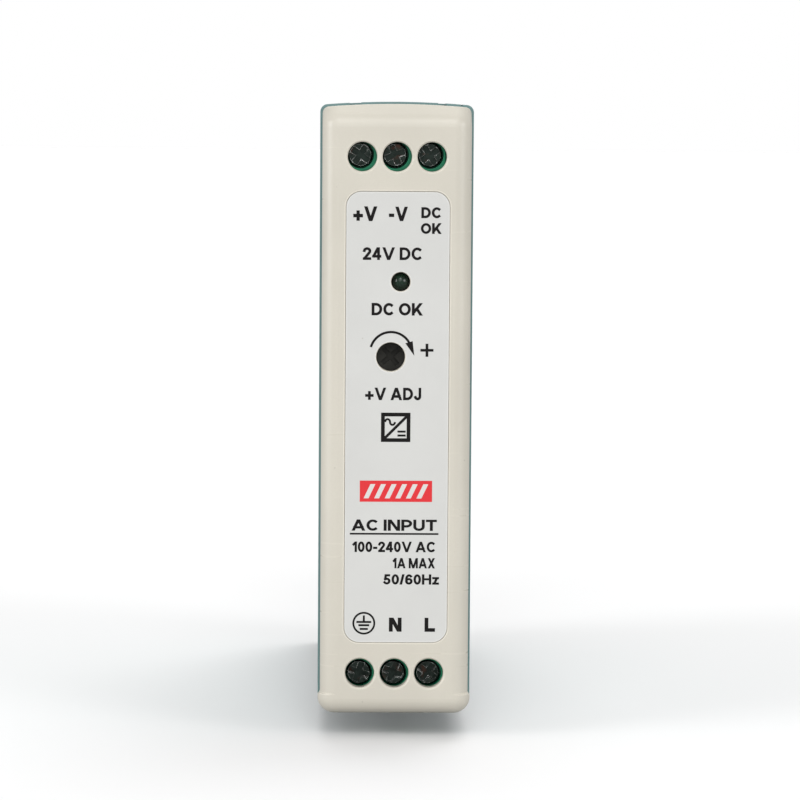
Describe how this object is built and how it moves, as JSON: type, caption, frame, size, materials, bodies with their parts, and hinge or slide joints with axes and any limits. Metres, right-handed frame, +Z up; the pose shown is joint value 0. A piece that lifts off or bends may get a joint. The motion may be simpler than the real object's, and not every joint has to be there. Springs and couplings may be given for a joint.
{
  "type": "din rail power supply",
  "caption": "Slim rail-mounted 24 V power supply with screw terminals at top and bottom, status lamp, voltage adjuster and sprung rail latch.",
  "frame": {"origin": "centre of the flat that rests on the rail, at the height of the rail's centreline", "axes": "+X across the rail to the right seen from the front, +Y back into the rail, +Z up"},
  "size_m": [0.0226, 0.1, 0.0936],
  "materials": {
    "teal_housing": "fine moulded texture",
    "cream_cover": "fine moulded texture",
    "label_film": "satin film",
    "terminal_green": "moulded",
    "screw_steel": "blackened, oiled",
    "clamp_steel": "zinc plated",
    "contact_tin": "tin plated",
    "led_lens": "clear tinted epoxy",
    "black_plastic": "moulded",
    "board_laminate": "solder mask",
    "trimmer_blue": "moulded",
    "rotor_black": "moulded",
    "fuse_brown": "moulded",
    "disc_coating": "dipped epoxy",
    "thermistor_coating": "dipped phenolic",
    "capacitor_yellow": "moulded box",
    "ferrite": "sintered",
    "copper_wire": "enamelled",
    "winding_tape": "polyester tape",
    "capacitor_sleeve": "shrunk sleeve",
    "heatsink_aluminium": "mill finish",
    "latch_plastic": "moulded nylon",
    "spring_steel": "spring wire"
  },
  "bodies": {
    "housing": {"body_tub": "teal_housing", "side_cover": "teal_housing", "front_cover": "cream_cover", "front_label": "label_film", "output_terminal_block": "terminal_green", "input_terminal_block": "terminal_green", "output_contact_bars": "contact_tin", "input_contact_bars": "contact_tin", "status_led": "led_lens", "led_spacer": "black_plastic", "led_leads": "contact_tin", "trimmer_body": "trimmer_blue", "board_header": "black_plastic", "header_pins": "contact_tin", "terminal_board": "board_laminate", "main_board": "board_laminate", "component_leads": "contact_tin", "fuse": "fuse_brown", "inrush_thermistor": "thermistor_coating", "surge_varistor": "disc_coating", "x_capacitor": "capacitor_yellow", "choke_core": "ferrite", "choke_windings": "copper_wire", "bridge_rectifier": "black_plastic", "bulk_capacitor": "capacitor_sleeve", "primary_heatsink": "heatsink_aluminium", "switching_transistor": "black_plastic", "output_heatsink": "heatsink_aluminium", "output_rectifier": "black_plastic", "heatsink_screws": "clamp_steel", "transformer_core": "ferrite", "transformer_bobbin": "black_plastic", "transformer_windings": "winding_tape", "controller_ic": "black_plastic", "optocoupler": "black_plastic", "y_capacitor": "disc_coating", "output_capacitors": "capacitor_sleeve", "output_inductor": "copper_wire", "chip_parts": "black_plastic"},
    "output_screw_1": {"output_screw_1": "screw_steel"},
    "output_clamp_1": {"output_clamp_1": "clamp_steel"},
    "output_screw_2": {"output_screw_2": "screw_steel"},
    "output_clamp_2": {"output_clamp_2": "clamp_steel"},
    "output_screw_3": {"output_screw_3": "screw_steel"},
    "output_clamp_3": {"output_clamp_3": "clamp_steel"},
    "input_screw_1": {"input_screw_1": "screw_steel"},
    "input_clamp_1": {"input_clamp_1": "clamp_steel"},
    "input_screw_2": {"input_screw_2": "screw_steel"},
    "input_clamp_2": {"input_clamp_2": "clamp_steel"},
    "input_screw_3": {"input_screw_3": "screw_steel"},
    "input_clamp_3": {"input_clamp_3": "clamp_steel"},
    "trimmer_rotor": {"trimmer_rotor": "rotor_black"},
    "rail_latch": {"rail_latch": "latch_plastic", "latch_spring": "spring_steel"}
  },
  "joints": [
    {"name": "output_screw_1_turn", "type": "hinge", "parent": "housing", "child": "output_screw_1", "pos_m": [-0.00538, -0.092, 0.03074], "axis": [0, 1, 0], "range_deg": [0, 1657]},
    {"name": "output_clamp_1_rise", "type": "slide", "parent": "housing", "child": "output_clamp_1", "axis": [0, 1, 0], "range_m": [-0.0023, 0]},
    {"name": "output_screw_2_turn", "type": "hinge", "parent": "housing", "child": "output_screw_2", "pos_m": [-0.0003, -0.092, 0.03074], "axis": [0, 1, 0], "range_deg": [0, 1657]},
    {"name": "output_clamp_2_rise", "type": "slide", "parent": "housing", "child": "output_clamp_2", "axis": [0, 1, 0], "range_m": [-0.0023, 0]},
    {"name": "output_screw_3_turn", "type": "hinge", "parent": "housing", "child": "output_screw_3", "pos_m": [0.00478, -0.092, 0.03074], "axis": [0, 1, 0], "range_deg": [0, 1657]},
    {"name": "output_clamp_3_rise", "type": "slide", "parent": "housing", "child": "output_clamp_3", "axis": [0, 1, 0], "range_m": [-0.0023, 0]},
    {"name": "input_screw_1_turn", "type": "hinge", "parent": "housing", "child": "input_screw_1", "pos_m": [-0.0052, -0.092, -0.04552], "axis": [0, 1, 0], "range_deg": [0, 1657]},
    {"name": "input_clamp_1_rise", "type": "slide", "parent": "housing", "child": "input_clamp_1", "axis": [0, 1, 0], "range_m": [-0.0023, 0]},
    {"name": "input_screw_2_turn", "type": "hinge", "parent": "housing", "child": "input_screw_2", "pos_m": [-0.00012, -0.092, -0.04552], "axis": [0, 1, 0], "range_deg": [0, 1657]},
    {"name": "input_clamp_2_rise", "type": "slide", "parent": "housing", "child": "input_clamp_2", "axis": [0, 1, 0], "range_m": [-0.0023, 0]},
    {"name": "input_screw_3_turn", "type": "hinge", "parent": "housing", "child": "input_screw_3", "pos_m": [0.00496, -0.092, -0.04552], "axis": [0, 1, 0], "range_deg": [0, 1657]},
    {"name": "input_clamp_3_rise", "type": "slide", "parent": "housing", "child": "input_clamp_3", "axis": [0, 1, 0], "range_m": [-0.0023, 0]},
    {"name": "trimmer_turn", "type": "hinge", "parent": "housing", "child": "trimmer_rotor", "pos_m": [-0.0008, -0.083, 0.0013], "axis": [0, 1, 0], "range_deg": [-130, 130]},
    {"name": "latch_slide", "type": "slide", "parent": "housing", "child": "rail_latch", "axis": [0, 0, 1], "range_m": [-0.004, 0], "stiffness_N_per_m": 1200, "springref_m": 0.003, "deforming": ["latch_spring"]}
  ],
  "couplings": [
    {"joint": "output_screw_1_turn", "follows": "output_clamp_1_rise", "rad_per_m": -12566},
    {"joint": "output_screw_2_turn", "follows": "output_clamp_2_rise", "rad_per_m": -12566},
    {"joint": "output_screw_3_turn", "follows": "output_clamp_3_rise", "rad_per_m": -12566},
    {"joint": "input_screw_1_turn", "follows": "input_clamp_1_rise", "rad_per_m": -12566},
    {"joint": "input_screw_2_turn", "follows": "input_clamp_2_rise", "rad_per_m": -12566},
    {"joint": "input_screw_3_turn", "follows": "input_clamp_3_rise", "rad_per_m": -12566}
  ]
}
